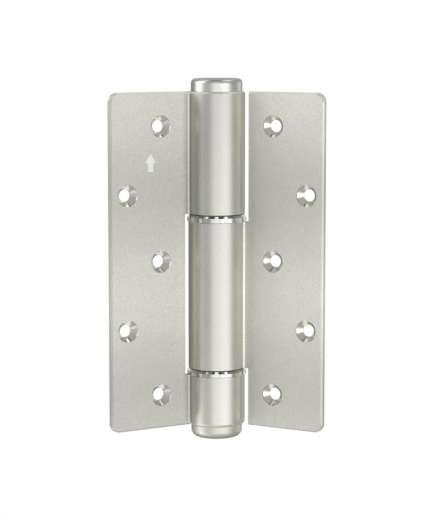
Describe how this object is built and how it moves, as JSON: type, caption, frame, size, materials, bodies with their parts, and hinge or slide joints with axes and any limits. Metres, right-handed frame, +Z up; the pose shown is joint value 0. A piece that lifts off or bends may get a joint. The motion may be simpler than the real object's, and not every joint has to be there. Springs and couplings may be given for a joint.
{
  "type": "hydraulic butt hinge",
  "caption": "Butt hinge whose barrel hides a closing spring and an oil damper, with countersunk leaves and polished thrust rings between its knuckles.",
  "frame": {"origin": "middle of the frame leaf's screw holes, on its back face", "axes": "+Z up along the pin, +Y out of the frame leaf's back, +X from the frame leaf towards the pin"},
  "size_m": [0.0825, 0.0569, 0.1615],
  "materials": {
    "leaf_aluminium": "fine blasted, satin anodised in a warm silver",
    "cap_aluminium": "turned and satin anodised",
    "polished_ring": "mirror polished",
    "thrust_washer": "dark, plain",
    "bush_polymer": "plain bearing polymer",
    "spring_steel": "hardened strip",
    "turned_steel": "turned",
    "piston_brass": "turned",
    "piston_ring": "plain bearing polymer",
    "seal_rubber": "plain"
  },
  "bodies": {
    "frame_side": {"frame_leaf": "leaf_aluminium", "top_cap": "cap_aluminium", "bottom_cap": "cap_aluminium", "lower_ring": "polished_ring", "lower_washer": "thrust_washer", "upper_bush": "bush_polymer", "torsion_spring": "spring_steel", "tension_plug": "turned_steel", "lock_pin": "turned_steel", "damper_shaft": "turned_steel", "anchor_plug": "turned_steel", "shaft_nut": "turned_steel"},
    "door_side": {"door_leaf": "leaf_aluminium", "upper_ring": "polished_ring", "upper_washer": "thrust_washer", "spring_arbor": "turned_steel", "arbor_seal": "seal_rubber", "cylinder_sleeve": "turned_steel", "gland": "turned_steel", "gland_seal": "seal_rubber", "shaft_seal": "seal_rubber"},
    "damper_piston": {"piston": "piston_brass", "piston_seal": "piston_ring", "follower_pins": "turned_steel", "check_ball": "turned_steel", "check_retainer": "turned_steel"},
    "speed_valve": {"speed_screw": "turned_steel", "speed_screw_seal": "seal_rubber"}
  },
  "joints": [
    {"name": "leaf_swing", "type": "hinge", "parent": "frame_side", "child": "door_side", "pos_m": [0.0356, -0.00545, 0], "axis": [0, 0, 1], "range_deg": [-120, 60], "stiffness_Nm_per_rad": 0.4, "springref_deg": -180, "deforming": ["torsion_spring"]},
    {"name": "piston_slide", "type": "slide", "parent": "door_side", "child": "damper_piston", "axis": [0, 0, 1], "range_m": [-0.00601, 0.01201]},
    {"name": "speed_screw_turn", "type": "hinge", "parent": "frame_side", "child": "speed_valve", "pos_m": [0.0356, -0.00545, -0.075], "axis": [0, 0, -1], "range_deg": [0, 540]}
  ],
  "couplings": [
    {"joint": "piston_slide", "follows": "leaf_swing", "m_per_rad": -0.0057296}
  ]
}
